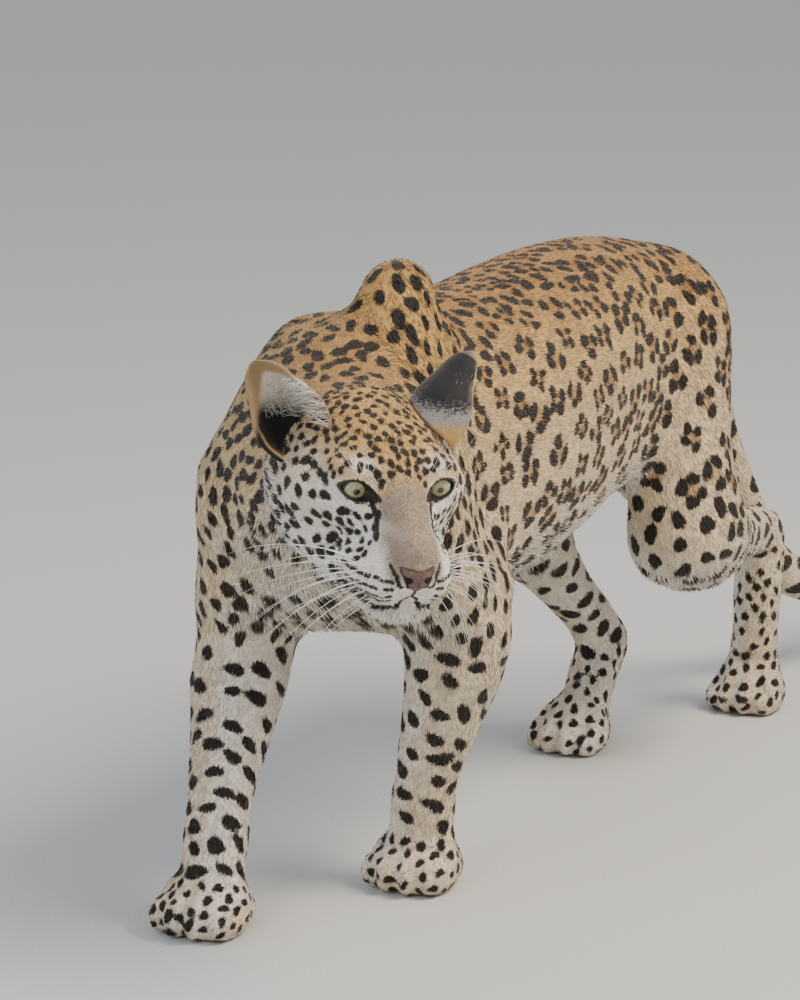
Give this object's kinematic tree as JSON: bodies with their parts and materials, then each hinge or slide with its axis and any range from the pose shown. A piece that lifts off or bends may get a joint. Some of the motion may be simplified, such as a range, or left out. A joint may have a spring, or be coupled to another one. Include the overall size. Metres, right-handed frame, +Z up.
{
  "type": "leopard",
  "caption": "Walking leopard as a still, life-size museum model: head low and turned to its left, one hind leg stretched back, tail trailing behind.",
  "frame": {"origin": "middle of the bounding box's footprint, at floor level", "axes": "+Z up, +Y towards the tail so that the chest faces -Y, +X towards the animal's left"},
  "size_m": [0.3946, 1.3848, 0.6023],
  "materials": {
    "golden_fur": "short fur, ochre with near-black rosettes and spots, matt",
    "pale_fur": "short fur, cream to buff with solid dark spots, matt",
    "ear_fur": "short fur, black behind with a pale patch, tan rim and pale hairs inside",
    "nose_pad": "bare pinkish-brown skin, finely pebbled, slightly moist",
    "eye_glass": "polished, pale yellow-green iris with a dark pupil"
  },
  "bodies": {
    "root": {"torso_rump": "golden_fur", "torso_belly": "golden_fur", "torso_chest": "golden_fur", "neck": "golden_fur", "tail_1": "golden_fur", "tail_2": "golden_fur", "tail_3": "golden_fur", "tail_4": "golden_fur", "upper_arm_right": "golden_fur", "forearm_right": "pale_fur", "forepaw_right": "pale_fur", "upper_arm_left": "golden_fur", "forearm_left": "pale_fur", "forepaw_left": "pale_fur", "thigh_right": "golden_fur", "shank_right": "golden_fur", "metatarsus_right": "pale_fur", "hindpaw_right": "pale_fur", "thigh_left": "golden_fur", "shank_left": "golden_fur", "metatarsus_left": "pale_fur", "hindpaw_left": "pale_fur", "head": "golden_fur", "eye_left": "eye_glass", "eye_right": "eye_glass", "nose": "nose_pad", "ear_right": "ear_fur", "ear_left": "ear_fur"}
  },
  "joints": []
}
